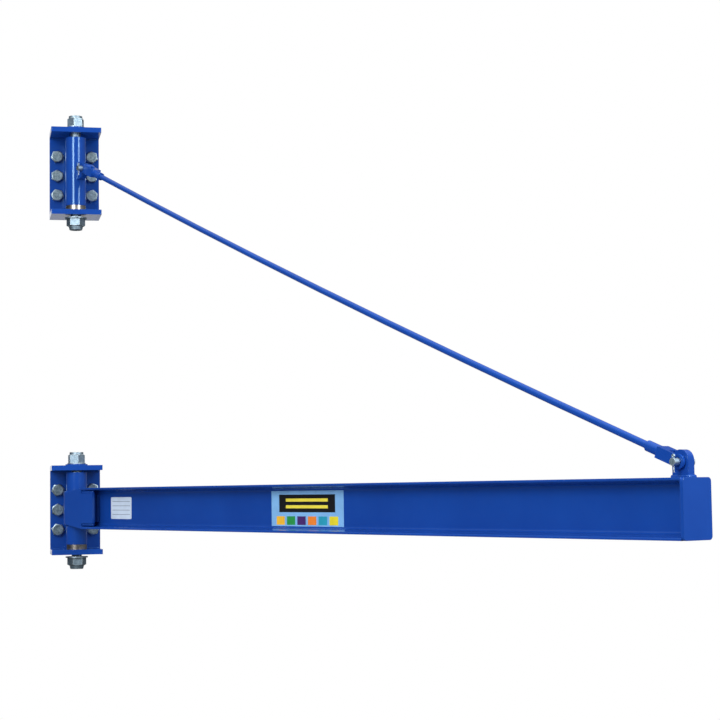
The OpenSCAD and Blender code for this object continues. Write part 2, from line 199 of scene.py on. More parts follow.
class ShaderGraph(NodeGraph):
    """A material's node tree, with one principled shader and Object coordinates."""

    def __init__(self, name: str) -> None:
        """Starts the material.

        Args:
            name: The material's name.
        """
        self.material = bpy.data.materials.new(name)
        self.material.use_nodes = True
        super().__init__(self.material.node_tree)
        self.shader = self.tree.nodes["Principled BSDF"]
        self.place = self.add("ShaderNodeTexCoord").outputs["Object"]

    def noise(self, scale: float, detail: float = 3.0, rough: float = 0.5,
              stretch: tuple[float, float, float] = (1, 1, 1)) -> bpy.types.NodeSocket:
        """Adds a noise texture on Object coordinates.

        Args:
            scale: Its frequency, per metre.
            detail: Its octaves.
            rough: How strong the finer octaves are.
            stretch: Scales of the three axes, so that the noise can run along one.

        Returns:
            The noise's value.
        """
        turned = self.add("ShaderNodeMapping")
        turned.inputs["Scale"].default_value = stretch
        self.join(self.place, turned.inputs["Vector"])
        texture = self.add("ShaderNodeTexNoise")
        texture.inputs["Scale"].default_value = scale
        texture.inputs["Detail"].default_value = detail
        texture.inputs["Roughness"].default_value = rough
        self.join(turned.outputs["Vector"], texture.inputs["Vector"])
        return texture.outputs["Fac"]

    def blend(self, share: object, first: object, second: object) -> bpy.types.NodeSocket:
        """Mixes two colours.

        Args:
            share: How much of the second.
            first: The first colour.
            second: The second colour.

        Returns:
            The mixed colour.
        """
        node = self.add("ShaderNodeMix", data_type="RGBA")
        self.join(share, node.inputs["Factor"])
        self.join(first, node.inputs["A"])
        self.join(second, node.inputs["B"])
        return node.outputs["Result"]

    def rounded(self, radius: float) -> bpy.types.NodeSocket:
        """Gives the surface's direction with its sharp edges rounded.

        Args:
            radius: The rounding's radius, in metres.

        Returns:
            The direction.
        """
        bevel = self.add("ShaderNodeBevel", samples=BEVEL_SAMPLES)
        bevel.inputs["Radius"].default_value = radius
        return bevel.outputs["Normal"]

    def edges(self, radius: float) -> bpy.types.NodeSocket:
        """Gives a mask that is 1 on sharp edges and 0 away from them.

        Args:
            radius: How far from an edge the mask reaches, in metres.

        Returns:
            The mask.
        """
        rounded = self.rounded(radius)
        flat = self.add("ShaderNodeNewGeometry")
        dot = self.add("ShaderNodeVectorMath", operation="DOT_PRODUCT")
        self.join(rounded, dot.inputs[0])
        self.join(flat.outputs["True Normal"], dot.inputs[1])
        return self.spread(dot.outputs["Value"], *EDGE_COSINES)

    def relief(self, height: object, strength: float, depth: float,
               soften: float = 0.0) -> None:
        """Gives the surface a bump, over edges that may be softened.

        Args:
            height: The bump's height.
            strength: Its strength, 0 to 1.
            depth: The depth that a height of 1 stands for, in metres.
            soften: Radius that sharp edges look rounded by, in metres.
        """
        bump = self.add("ShaderNodeBump")
        bump.inputs["Strength"].default_value = strength
        bump.inputs["Distance"].default_value = depth
        self.join(height, bump.inputs["Height"])
        if soften:
            self.join(self.rounded(soften), bump.inputs["Normal"])
        self.join(bump.outputs["Normal"], self.shader.inputs["Normal"])

    def set(self, **values: object) -> None:
        """Sets the shader's inputs, each by its name with underscores for spaces."""
        for key, value in values.items():
            self.join(value, self.shader.inputs[key.replace("_", " ")])


# ---------------------------------------------------------------- finishes


@dataclass(frozen=True)
class Enamel:
    """Gloss enamel sprayed on steel, with a fine orange peel and paler, thinner edges."""

    name: str = "crane_enamel"
    colour: Colour = srgb(22, 69, 158)
    deep: Colour = srgb(18, 60, 145)
    edge: Colour = srgb(48, 99, 182)
    glint: Colour = (0.55, 0.88, 1.0, 1.0)
    gloss: float = 0.13
    index: float = 1.58
    thinned: float = 0.0012
    peel_share: float = 0.35
    peel_depth: float = 0.0006

    def material(self) -> bpy.types.Material:
        """Builds the enamel's material.

        Returns:
            The material.
        """
        graph = ShaderGraph(self.name)
        clouds = graph.spread(graph.noise(7, 4, 0.55), 0.35, 0.65)
        body = graph.blend(graph.math("MULTIPLY", clouds, 0.5), self.colour, self.deep)
        rims = graph.edges(self.thinned)
        worn = graph.math("MULTIPLY", rims, graph.spread(graph.noise(60), 0.3, 0.7, 0.1, 0.6))
        graph.set(
            Base_Color=graph.blend(worn, body, self.edge),
            Roughness=graph.spread(graph.noise(90, 2), 0.3, 0.7, self.gloss - 0.05, self.gloss + 0.06),
            IOR=self.index, Specular_Tint=self.glint,
        )
        peel = graph.noise(420, 2, 0.4)
        waves = graph.noise(45, 1)
        height = graph.math("ADD", graph.math("MULTIPLY", peel, self.peel_share), waves)
        graph.relief(height, 0.25, self.peel_depth, self.thinned)
        return graph.material


@dataclass(frozen=True)
class ZincPlate:
    """Bright zinc plating on bolts, nuts, washers and pins, its sharp edges painted paler as a painted highlight.
    """

    name: str = "zinc_plate"
    colour: Colour = srgb(186, 208, 220)
    shade: Colour = srgb(132, 158, 174)
    roughness: tuple[float, float] = (0.3, 0.42)
    # The paler colour painted on sharp edges as a painted highlight, and how far from an edge it reaches.
    painted_rim_colour: Colour = srgb(236, 244, 248)
    painted_rim_width: float = 0.002
    softened: float = 0.0008
    grain: float = 0.0002

    def material(self) -> bpy.types.Material:
        """Builds the plating's material.

        Returns:
            The material.
        """
        graph = ShaderGraph(self.name)
        patches = graph.spread(graph.noise(190, 5, 0.7), 0.4, 0.6)
        plate = graph.blend(patches, self.colour, self.shade)
        graph.set(
            # Sharp edges are painted paler: a painted highlight, like the light that the chamfers' rims catch.
            Base_Color=graph.blend(graph.edges(self.painted_rim_width), plate, self.painted_rim_colour),
            Metallic=1.0,
            Roughness=graph.spread(graph.noise(260, 3), 0.3, 0.7, *self.roughness),
        )
        graph.relief(graph.noise(900, 3, 0.6), 0.2, self.grain, self.softened)
        return graph.material


@dataclass(frozen=True)
class TurnedSteel:
    """Bare steel with the fine rings that a lathe leaves, a little browned."""

    name: str = "turned_steel"
    colour: Colour = srgb(176, 172, 168)
    brown: Colour = srgb(104, 95, 88)
    roughness: tuple[float, float] = (0.24, 0.42)
    fineness: float = 40
    groove: float = 0.0002
    softened: float = 0.0005

    def material(self) -> bpy.types.Material:
        """Builds the steel's material.

        Returns:
            The material.
        """
        graph = ShaderGraph(self.name)
        stain = graph.spread(graph.noise(90, 4, 0.6), 0.45, 0.75, 0.0, 0.8)
        rings = graph.noise(60, 1, 0.5, (1, 1, self.fineness))
        graph.set(
            Base_Color=graph.blend(stain, self.colour, self.brown),
            Metallic=1.0,
            Roughness=graph.spread(rings, 0.3, 0.7, *self.roughness),
        )
        graph.relief(rings, 0.35, self.groove, self.softened)
        return graph.material


@dataclass(frozen=True)
class BearingBronze:
    """The bushes' oiled bearing bronze."""

    name: str = "bearing_bronze"
    colour: Colour = srgb(176, 128, 68)
    dark: Colour = srgb(110, 74, 38)
    roughness: tuple[float, float] = (0.38, 0.2)
    grain: float = 0.0002

    def material(self) -> bpy.types.Material:
        """Builds the bronze's material.

        Returns:
            The material.
        """
        graph = ShaderGraph(self.name)
        oil = graph.spread(graph.noise(110, 4, 0.6), 0.4, 0.7)
        graph.set(
            Base_Color=graph.blend(oil, self.colour, self.dark),
            Metallic=1.0,
            Roughness=graph.spread(oil, 0, 1, *self.roughness),
        )
        graph.relief(graph.noise(700, 2), 0.25, self.grain)
        return graph.material


@dataclass(frozen=True)
class Vinyl:
    """Printed vinyl film: a plate's ground, its blocks or its print."""

    name: str
    colour: Colour
    roughness: tuple[float, float] = (0.32, 0.46)
    faded: float = 0.88
    grain: float = 0.0001

    def material(self) -> bpy.types.Material:
        """Builds the film's material.

        Returns:
            The material.
        """
        graph = ShaderGraph(self.name)
        dull = tuple(channel * self.faded for channel in self.colour[:3]) + (1.0,)
        graph.set(
            Base_Color=graph.blend(graph.spread(graph.noise(35, 3), 0.4, 0.7), self.colour, dull),
            Roughness=graph.spread(graph.noise(160, 2), 0.3, 0.7, *self.roughness),
        )
        graph.relief(graph.noise(500, 2), 0.15, self.grain)
        return graph.material


# ---------------------------------------------------------------- measures from the frame


@dataclass(frozen=True)
class BoomLine:
    """The boom's own axes: out along it from the pivot axis, across it, and up."""

    pivot: Vector
    along: Vector
    height: float

    @property
    def across(self) -> Vector:
        """The level direction across the boom, towards its far side."""
        return Vector((0, 0, 1)).cross(self.along)

    def at(self, out: float, across: float, up: float) -> Vector:
        """Gives the frame's point at a place along, across and above the boom's middle line."""
        return self.pivot + self.along * out + self.across * across + Vector((0, 0, self.height + up))

    def read(self, point: Vector) -> tuple[float, float, float]:
        """Gives a point's place along, across and above the boom's middle line."""
        level = Vector((point.x, point.y, 0)) - self.pivot
        return level.dot(self.along), level.dot(self.across), point.z - self.height

    def box(self, node: str) -> tuple[Vector, Vector]:
        """Gives the box of a CAD node in the boom's own axes.

        Args:
            node: The node's name.

        Returns:
            Its lowest and highest corner.
        """
        places = [self.read(v.co) for v in frame["nodes"][node].data.vertices]
        low = Vector([min(p[i] for p in places) for i in range(3)])
        high = Vector([max(p[i] for p in places) for i in range(3)])
        return low, high


def boom_line() -> BoomLine:
    """Works out the boom's axes from the swing joint and the beam.

    Returns:
        The axes.
    """
    joint = frame["joints"][0]
    pivot = Vector((joint["pos_m"][0], joint["pos_m"][1], 0))
    track = next(m for m in frame["record"]["mounts"] if m["name"] == "trolley_track")
    low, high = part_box("end_cap")
    return BoomLine(pivot, Vector(track["axis"]).normalized(), (low.z + high.z) / 2)


def tube_radius(node: str) -> float:
    """Gives the outer radius of an upright tube."""
    low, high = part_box(node)
    return (high.x - low.x) / 2


# ---------------------------------------------------------------- mesh helpers


def new_object(name: str, data: bpy.types.ID) -> bpy.types.Object:
    """Puts an object in the scene.

    Args:
        name: The object's name.
        data: Its mesh, lamp or camera.

    Returns:
        The new object.
    """
    item = bpy.data.objects.new(name, data)
    bpy.context.scene.collection.objects.link(item)
    return item


def new_piece(name: str, mesh: bpy.types.Mesh, body: Body,
              material: bpy.types.Material | None = None) -> bpy.types.Object:
    """Puts a mesh in the scene as a piece that rides on a body.

    Args:
        name: The piece's name.
        mesh: Its mesh, already in place.
        body: The body that it rides on.
        material: Its material, unless the mesh has one.

    Returns:
        The new object.
    """
    piece = new_object(name, mesh)
    if material:
        mesh.materials.clear()
        mesh.materials.append(material)
    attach(piece, body.value)
    LOG.info("%s: %d faces, on %s", name, len(mesh.polygons), body.value)
    return piece


def prism(outline: Places, offset: Vector) -> bmesh.types.BMesh:
    """Builds a closed prism.

    Args:
        outline: The corners of one end, in order.
        offset: The way to the other end.

    Returns:
        The prism, its faces pointing outwards.
    """
    shape = bmesh.new()
    near = [shape.verts.new(p) for p in outline]
    far = [shape.verts.new(p + offset) for p in outline]
    shape.faces.new(near)
    shape.faces.new(far[::-1])
    for i, corner in enumerate(near):
        j = (i + 1) % len(near)
        shape.faces.new((corner, far[i], far[j], near[j]))
    bmesh.ops.recalc_face_normals(shape, faces=shape.faces)
    return shape


def rounded_outline(width: float, height: float, radius: float,
                    steps: int = 6) -> list[tuple[float, float]]:
    """Gives the corners of a rounded rectangle about zero.

    Args:
        width: Its width.
        height: Its height.
        radius: Its corners' radius.
        steps: Points round each corner.

    Returns:
        Its points, anticlockwise.
    """
    points = []
    for turn, (sx, sy) in enumerate(((1, 1), (-1, 1), (-1, -1), (1, -1))):
        for i in range(steps + 1):
            angle = math.radians(90 * turn + 90 * i / steps)
            points.append((sx * (width / 2 - radius) + radius * math.cos(angle),
                           sy * (height / 2 - radius) + radius * math.sin(angle)))
    return points


# ---------------------------------------------------------------- geometry-node trees


class PieceTree:
    """A geometry-node tree that turns a guide mesh into a piece, with named inputs."""

    def __init__(self, name: str) -> None:
        """Starts the tree with a geometry input and output.

        Args:
            name: The tree's name.
        """
        self.tree = bpy.data.node_groups.new(name, "GeometryNodeTree")
        face = self.tree.interface
        face.new_socket("Guide", in_out="INPUT", socket_type="NodeSocketGeometry")
        face.new_socket("Piece", in_out="OUTPUT", socket_type="NodeSocketGeometry")
        self.source = self.tree.nodes.new("NodeGroupInput")
        self.sink = self.tree.nodes.new("NodeGroupOutput")

    def size(self, name: str, kind: str = "NodeSocketFloat") -> bpy.types.NodeSocket:
        """Adds a named input and gives the socket that carries it inside the tree."""
        self.tree.interface.new_socket(name, in_out="INPUT", socket_type=kind)
        return self.source.outputs[name]

    def add(self, kind: str, inputs: dict[str | int, object] | None = None,
            **settings: object) -> bpy.types.Node:
        """Adds a node and joins its inputs.

        Args:
            kind: The node's type.
            inputs: Its inputs by name or number: sockets or plain values.
            **settings: Attributes to set on it.

        Returns:
            The new node.
        """
        node = self.tree.nodes.new(kind)
        for key, value in settings.items():
            setattr(node, key, value)
        for key, value in (inputs or {}).items():
            if isinstance(value, bpy.types.NodeSocket):
                self.tree.links.new(value, node.inputs[key])
            else:
                node.inputs[key].default_value = value
        return node

    def end(self, geometry: bpy.types.NodeSocket, material: bpy.types.NodeSocket) -> None:
        """Ends the tree in Realize Instances, smooth shading and Set Material.

        Args:
            geometry: What the tree made.
            material: The socket that carries its material.
        """
        real = self.add("GeometryNodeRealizeInstances", {"Geometry": geometry})
        smooth = self.add("GeometryNodeSetShadeSmooth", {"Geometry": real.outputs[0]})
        dressed = self.add("GeometryNodeSetMaterial",
                           {"Geometry": smooth.outputs[0], "Material": material})
        self.tree.links.new(dressed.outputs[0], self.sink.inputs["Piece"])

    def bake(self, guide: bpy.types.Mesh, values: dict[str, object]) -> bpy.types.Mesh:
        """Runs the tree on a guide mesh and gives the result as a plain mesh.

        Args:
            guide: The mesh that the tree works on.
            values: The inputs' values by name.

        Returns:
            The plain mesh.
        """
        holder = new_object("guide", guide)
        modifier = holder.modifiers.new("tree", "NODES")
        modifier.node_group = self.tree
        for item in self.tree.interface.items_tree:
            if item.in_out == "INPUT" and item.name in values:
                modifier[item.identifier] = values[item.name]
        graph = bpy.context.evaluated_depsgraph_get()
        mesh = bpy.data.meshes.new_from_object(holder.evaluated_get(graph))
        bpy.data.objects.remove(holder)
        return mesh


def path_mesh(paths: list[Places]) -> bpy.types.Mesh:
    """Builds a mesh of loose edges from lists of points.

    Args:
        paths: The paths, each a list of points.

    Returns:
        The mesh.
    """
    points, edges = [], []
    for path in paths:
        first = len(points)
        points += [tuple(p) for p in path]
        edges += [(first + i, first + i + 1) for i in range(len(path) - 1)]
    mesh = bpy.data.meshes.new("path")
    mesh.from_pydata(points, edges, [])
    return mesh


class WeldTree(PieceTree):
    """Lays overlapping ripples along paths, as a welder's bead lies."""

    SEGMENTS = 10
    RINGS = 5
    SMALLEST = (0.94, 0.94, 0.6)
    LARGEST = (1.06, 1.06, 0.7)

    def __init__(self) -> None:
        """Builds the tree."""
        super().__init__("weld_bead")
        step = self.size("Step")
        radius = self.size("Radius")
        seed = self.size("Seed", "NodeSocketInt")
        material = self.size("Material", "NodeSocketMaterial")
        line = self.add("GeometryNodeMeshToCurve", {"Mesh": self.source.outputs["Guide"]})
        spaced = self.add("GeometryNodeResampleCurve",
                          {"Curve": line.outputs[0], "Length": step}, mode="LENGTH")
        ripple = self.add("GeometryNodeMeshUVSphere", {
            "Segments": self.SEGMENTS, "Rings": self.RINGS, "Radius": radius})
        tangent = self.add("GeometryNodeInputTangent")
        turn = self.add("FunctionNodeAlignRotationToVector", {"Vector": tangent.outputs[0]}, axis="Z")
        size = self.add("FunctionNodeRandomValue",
                        {0: self.SMALLEST, 1: self.LARGEST, "Seed": seed}, data_type="FLOAT_VECTOR")
        laid = self.add("GeometryNodeInstanceOnPoints", {
            "Points": spaced.outputs[0], "Instance": ripple.outputs[0],
            "Rotation": turn.outputs[0], "Scale": size.outputs[0]})
        self.end(laid.outputs[0], material)


class ThreadTree(PieceTree):
    """Winds a thread's ridge round an axis at each of a mesh's points."""

    STEPS_PER_TURN = 28
    RIDGE_CORNERS = 4

    def __init__(self) -> None:
        """Builds the tree."""
        super().__init__("thread_ridge")
        turns = self.size("Turns")
        radius = self.size("Radius")
        length = self.size("Length")
        ridge = self.size("Ridge")
        turned = self.size("Turn", "NodeSocketRotation")
        material = self.size("Material", "NodeSocketMaterial")
        helix = self.add("GeometryNodeCurveSpiral", {
            "Resolution": self.STEPS_PER_TURN, "Rotations": turns, "Start Radius": radius,
            "End Radius": radius, "Height": length})
        section = self.add("GeometryNodeCurvePrimitiveCircle", {
            "Resolution": self.RIDGE_CORNERS, "Radius": ridge})
        wound = self.add("GeometryNodeCurveToMesh", {
            "Curve": helix.outputs[0], "Profile Curve": section.outputs[0], "Fill Caps": True})
        laid = self.add("GeometryNodeInstanceOnPoints", {
            "Points": self.source.outputs["Guide"], "Instance": wound.outputs[0], "Rotation": turned})
        self.end(laid.outputs[0], material)


class PrintTree(PieceTree):
    """Prints one flat block at each of a mesh's points."""

    def __init__(self) -> None:
        """Builds the tree."""
        super().__init__("print_blocks")
        size = self.size("Size", "NodeSocketVector")
        turned = self.size("Turn", "NodeSocketRotation")
        material = self.size("Material", "NodeSocketMaterial")
        block = self.add("GeometryNodeMeshCube", {"Size": size})
        laid = self.add("GeometryNodeInstanceOnPoints", {
            "Points": self.source.outputs["Guide"], "Instance": block.outputs[0], "Rotation": turned})
        self.end(laid.outputs[0], material)


# ---------------------------------------------------------------- sub-assemblies


@dataclass
class Finishes:
    """The crane's materials, each built once, and what each material slot of the record wears."""

    enamel: bpy.types.Material = field(default_factory=lambda: Enamel().material())
    zinc: bpy.types.Material = field(default_factory=lambda: ZincPlate().material())
    satin: bpy.types.Material = field(default_factory=lambda: ZincPlate(
        "satin_zinc", srgb(176, 198, 212), srgb(146, 170, 186), (0.48, 0.6)).material())
    steel: bpy.types.Material = field(default_factory=lambda: TurnedSteel().material())
    bronze: bpy.types.Material = field(default_factory=lambda: BearingBronze().material())

    def dress_frame(self) -> None:
        """Gives every CAD node the material of its slot."""
        wear = {"blue_paint": self.enamel, "zinc_plated_steel": self.zinc,
                "bare_steel": self.steel, "bronze": self.bronze}
        for part in frame["record"]["subparts"]:
            node = frame["nodes"][part["node"]]
            finish = wear[part["material_slot"]]
            if finish is self.zinc and not part["node"].endswith("wall_bolts"):
                finish = self.satin
            for slot in node.material_slots:
                slot.material = finish
            LOG.info("%s wears %s", part["node"], part["material_slot"])


@dataclass
class Welder:
    """Lays weld beads in the enamel's colour."""

    material: bpy.types.Material
    step: float = 0.0018
    radius: float = 0.0036
    tree: WeldTree = field(default_factory=WeldTree)

    def lay(self, name: str, body: Body, paths: list[Places], seed: int, scale: float = 1.0) -> None:
        """Lays one piece of beads along paths.

        Args:
            name: The piece's name.
            body: The body that it rides on.
            paths: The beads' paths.
            seed: Seed of the ripples' sizes.
            scale: Size of these beads against the usual one.
        """
        values = {"Step": self.step * scale, "Radius": self.radius * scale,
                  "Seed": seed, "Material": self.material}
        new_piece(name, self.tree.bake(path_mesh(paths), values), body)


@dataclass
class WallBracket:
    """One wall bracket's welds and its bolts' threads."""

    bracket: Bracket
    welder: Welder
    zinc: bpy.types.Material
    weld_inset: float = 0.003
    weld_lift: float = 0.001
    weld_scale: float = 0.6
    thread_pitch: float = 0.00254
    thread_ridge: float = 0.0008
    thread_sunk: float = 0.0004
    thread_start: float = 0.001
    thread_clear: float = 0.003

    def node(self, part: str) -> str:
        """Gives the name of one of this bracket's nodes."""
        return f"{self.bracket.value}_{part}"

    def build(self, threads: ThreadTree) -> None:
        """Makes the bracket's pieces."""
        self.weld_flanges()
        self.cut_threads(threads)

    def weld_flanges(self) -> None:
        """Lays the beads between the back plate and the two flanges, inside the bracket."""
        plate_low, plate_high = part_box(self.node("back_plate"))
        top_low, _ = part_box(self.node("top_flange"))
        _, bottom_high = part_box(self.node("bottom_flange"))
        ends = (plate_low.x + self.weld_inset, plate_high.x - self.weld_inset)
        paths = [[Vector((x, plate_low.y - self.weld_lift, height)) for x in ends]
                 for height in (top_low.z - self.weld_lift, bottom_high.z + self.weld_lift)]
        self.welder.lay(self.node("flange_welds"), Body.BRACKETS, paths, seed=3, scale=self.weld_scale)

    def bolt_patterns(self) -> list[dict]:
        """Gives the record's bolt patterns on this bracket."""
        return [mount for mount in frame["record"]["mounts"]
                if mount["name"].startswith(self.bracket.value) and mount["kind"] == "bolt_pattern"]

    def bolt_axes(self) -> list[tuple[float, float, float]]:
        """Gives the point on each wall bolt's axis where its thread starts.

        Returns:
            The points, in order.
        """
        points = set()
        for mount in self.bolt_patterns():
            dims = mount["dims"]
            rows = (-0.5, 0.5) if "spacing_y_mm" in dims else (0.0,)
            for col in (-0.5, 0.5):
                for row in rows:
                    points.add((col * dims["spacing_x_mm"] / 1000, self.thread_start,
                                mount["pos_m"][2] + row * dims.get("spacing_y_mm", 0) / 1000))
        return sorted(points)

    def cut_threads(self, threads: ThreadTree) -> None:
        """Winds a thread on the part of each wall bolt that stands behind the plate.

        Args:
            threads: The tree that winds threads.
        """
        _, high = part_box(self.node("wall_bolts"))
        length = high.y - self.thread_clear - self.thread_start
        guide = bpy.data.meshes.new("bolt_axes")
        guide.from_pydata(self.bolt_axes(), [], [])
        radius = self.bolt_patterns()[0]["dims"]["stud_r_mm"] / 1000
        mesh = threads.bake(guide, {
            "Turns": length / self.thread_pitch, "Radius": radius - self.thread_sunk, "Length": length,
            "Ridge": self.thread_ridge, "Turn": Euler((-math.pi / 2, 0, 0)), "Material": self.zinc})
        new_piece(self.node("bolt_threads"), mesh, Body.BRACKETS)


@dataclass
class Boom:
    """The boom's welds. A bead's middle line lies a lift away from the steel that it joins."""

    line: BoomLine
    welder: Welder
    lift: float = 0.001
    cap_scale: float = 0.8
    cap_toe: float = 0.006
    cap_root: float = 0.01
    toe_drop: float = 0.009
    root_drop: float = 0.013
    web_half: float = 0.004
    web_rise: float = 0.036
    strap_scale: float = 1.2
    filler_toe: float = 0.0085
    filler_root: float = 0.005
    filler_end: float = 0.002
    leg_half: float = 0.037
    leg_gap: float = 0.0025
    leg_sunk: float = 0.0065
    leg_start: float = 0.003
    leg_end: float = 0.008
    strap_half: float = 0.0395
    strap_lift: float = 0.0005
    arc_steps: int = 24

    def build(self) -> None:
        """Makes the boom's pieces."""
        self.weld_cap()
        self.weld_tip_lug()
        self.weld_head_lug()
        self.weld_strap()

    def weld_cap(self) -> None:
        """Lays the beads round the beam's section where it meets the end cap."""
        cap, _ = self.line.box("end_cap")
        _, beam = self.line.box("boom_beam")
        out = cap.x - self.lift
        paths = []
        for side in (choice.value for choice in Side):
            for end in (-1, 1):
                paths.append([
                    self.line.at(out, side * (beam.y - self.cap_toe), end * (beam.z - self.toe_drop)),
                    self.line.at(out, side * self.cap_root, end * (beam.z - self.root_drop))])
            paths.append([self.line.at(out, side * self.web_half, rise)
                          for rise in (-self.web_rise, self.web_rise)])
        self.welder.lay("cap_welds", Body.JIB, paths, seed=5, scale=self.cap_scale)

    def weld_tip_lug(self) -> None:
        """Lays the bead round the foot of the tip lug."""
        low, high = self.line.box("tip_lug")
        ring = [(low.x, low.y), (high.x, low.y), (high.x, high.y), (low.x, high.y), (low.x, low.y)]
        path = [self.line.at(x, y, low.z + self.lift) for x, y in ring]
        self.welder.lay("tip_lug_welds", Body.JIB, [path], seed=7)

    def weld_head_lug(self) -> None:
        """Lays the beads down both sides of the head lug, where it meets the upper tube."""
        low, high = self.line.box("head_lug")
        tube = tube_radius("upper_pivot_tube")
        half = high.y + self.lift
        out = math.sqrt(tube * tube - half * half) + self.lift
        paths = [[self.line.at(out, side.value * half, rise)
                  for rise in (low.z + self.lift, high.z - self.lift)] for side in Side]
        self.welder.lay("head_lug_welds", Body.JIB, paths, seed=9)

    def weld_strap(self) -> None:
        """Lays the beads of the strap: on the fillers, along its legs and round the lower tube."""
        _, strap = self.line.box("tube_strap")
        low, high = self.line.box("strap_fillers")
        beam, _ = self.line.box("boom_beam")
        radius = tube_radius("lower_pivot_tube") + self.lift
        paths = []
        for side in (choice.value for choice in Side):
            for edge in (strap.y - self.filler_toe, self.filler_root):
                paths.append([self.line.at(high.x + self.lift, side * edge, rise)
                              for rise in (low.z + self.filler_end, high.z - self.filler_end)])
            for end in (-1, 1):
                leg = side * (strap.y - self.leg_sunk), end * (self.leg_half + self.leg_gap)
                paths.append([self.line.at(out, *leg)
                              for out in (beam.x + self.leg_start, strap.x - self.leg_end)])
        turns = [math.radians(90 + 180 * step / self.arc_steps) for step in range(self.arc_steps + 1)]
        for end in (-1, 1):
            rise = end * (self.strap_half + self.strap_lift)
            paths.append([self.line.at(radius * math.cos(turn), radius * math.sin(turn), rise)
                          for turn in turns])
        self.welder.lay("strap_welds", Body.JIB, paths, seed=11, scale=self.strap_scale)


@dataclass
class FlatPlate:
    """A thin film on the web's near side, with flat prints on it.

    Its span is its reach out along the boom, and its rise is its reach up from the boom's middle line.
    """

    name: str
    line: BoomLine
    span: tuple[float, float]
    rise: tuple[float, float]
    corner: float
    ground: Vinyl
    film: float = 0.0005
    ink: float = 0.00012
    tree: PrintTree = field(default_factory=PrintTree)

    @property
    def middle(self) -> tuple[float, float]:
        """The film's centre, out along the boom and up."""
        return (self.span[0] + self.span[1]) / 2, (self.rise[0] + self.rise[1]) / 2

    @property
    def web(self) -> float:
        """Half the thickness of the beam's web."""
        beam = frame["nodes"]["boom_beam"].data.vertices
        return min(abs(self.line.read(v.co)[1]) for v in beam)

    @property
    def turn(self) -> Euler:
        """The turn from the frame's axes to the boom's."""
        return Euler((0, 0, math.atan2(self.line.along.y, self.line.along.x)))

    def lay_ground(self) -> None:
        """Makes the film itself."""
        out, up = self.middle
        outline = rounded_outline(self.span[1] - self.span[0], self.rise[1] - self.rise[0], self.corner)
        face = [self.line.at(out + x, -self.web, up + z) for x, z in outline]
        shape = prism(face, -self.line.across * self.film)
        mesh = bpy.data.meshes.new(self.name)
        shape.to_mesh(mesh)
        shape.free()
        new_piece(f"{self.name}_film", mesh, Body.JIB, self.ground.material())

    def stamp(self, name: str, ink: Vinyl, places: list[tuple[float, float]],
              size: tuple[float, float], coat: int = 1) -> None:
        """Prints equal blocks on the film.

        Args:
            name: What the print is called.
            ink: Its colour.
            places: The blocks' centres, from the film's centre.
            size: A block's width and height.
            coat: Which coat of ink it is: the second lies on the first.
        """
        out, up = self.middle
        across = -self.web - self.film - self.ink * (coat - 0.5)
        guide = bpy.data.meshes.new("print_places")
        guide.from_pydata([tuple(self.line.at(out + x, across, up + z)) for x, z in places], [], [])
        mesh = self.tree.bake(guide, {
            "Size": (size[0], self.ink, size[1]), "Turn": self.turn, "Material": ink.material()})
        mesh.shade_flat()
        new_piece(f"{self.name}_{name}", mesh, Body.JIB)


@dataclass
class WebPlates:
    """The bare ruled label and the plain coloured plate on the web's near side."""

    line: BoomLine
    rules: int = 4
    rule: tuple[float, float] = (0.084, 0.0012)
    rule_top: float = 0.016
    rule_pitch: float = 0.0105
    panel: tuple[float, float] = (0.2, 0.037)
    panel_rise: float = 0.0125
    stripe: tuple[float, float] = (0.15, 0.0065)
    stripe_rises: tuple[float, float] = (0.0195, 0.0055)
    block: tuple[float, float] = (0.03, 0.018)
    block_pitch: float = 0.038
    block_rise: float = -0.0235

    def build(self) -> None:
        """Makes both."""
        self.stick_label()
        self.stick_plate()

    def stick_label(self) -> None:
        """Sticks the white label, ruled with plain lines and otherwise bare."""
        label = FlatPlate("label", self.line, span=(0.182, 0.281), rise=(-0.026, 0.027), corner=0.0035,
                          ground=Vinyl("label_white", srgb(208, 224, 244)))
        label.lay_ground()
        rows = [(0.0, self.rule_top - self.rule_pitch * row) for row in range(self.rules)]
        label.stamp("rules", Vinyl("rule_grey", srgb(120, 134, 158)), rows, self.rule)

    def stick_plate(self) -> None:
        """Sticks the light blue plate: two stripes on a dark panel, over a row of coloured blocks."""
        plate = FlatPlate("plate", self.line, span=(0.878, 1.136), rise=(-0.041, 0.037), corner=0.002,
                          ground=Vinyl("plate_blue", srgb(128, 184, 236)))
        plate.lay_ground()
        plate.stamp("panel", Vinyl("panel_black", srgb(22, 24, 28)), [(0, self.panel_rise)], self.panel)
        plate.stamp("stripes", Vinyl("stripe_yellow", srgb(240, 224, 70)),
                    [(0, rise) for rise in self.stripe_rises], self.stripe, coat=2)
        blocks = {"amber": srgb(248, 190, 48), "green": srgb(38, 152, 72), "purple": srgb(74, 40, 112),
                  "orange": srgb(240, 132, 44), "teal": srgb(34, 158, 186), "lemon": srgb(236, 220, 40)}
        for step, (name, colour) in enumerate(blocks.items()):
            out = self.block_pitch * (step - (len(blocks) - 1) / 2)
            ink = Vinyl(f"block_{name}", colour)
            plate.stamp(ink.name, ink, [(out, self.block_rise)], self.block)


# ---------------------------------------------------------------- studio


@dataclass(frozen=True)
class Softbox:
    """An upright strip lamp that faces the pivots, at a bearing from straight out of the wall."""

    name: str
    bearing: float
    size: tuple[float, float]
    power: float
    distance: float = 4.0
    height: float = 1.75

    def hang(self) -> None:
        """Hangs the lamp."""
        level = math.radians(self.bearing)
        way = Vector((math.sin(level), -math.cos(level), 0))
        data = bpy.data.lights.new(self.name, "AREA")
        data.shape = "RECTANGLE"
        data.size, data.size_y = self.size
        data.energy = self.power
        pivot = Vector(frame["joints"][0]["pos_m"])
        lamp = new_object(self.name, data)
        lamp.location = pivot + way * self.distance + Vector((0, 0, self.height))
        lamp.rotation_euler = (-way).to_track_quat("-Z", "Y").to_euler()
        lamp.visible_camera = False


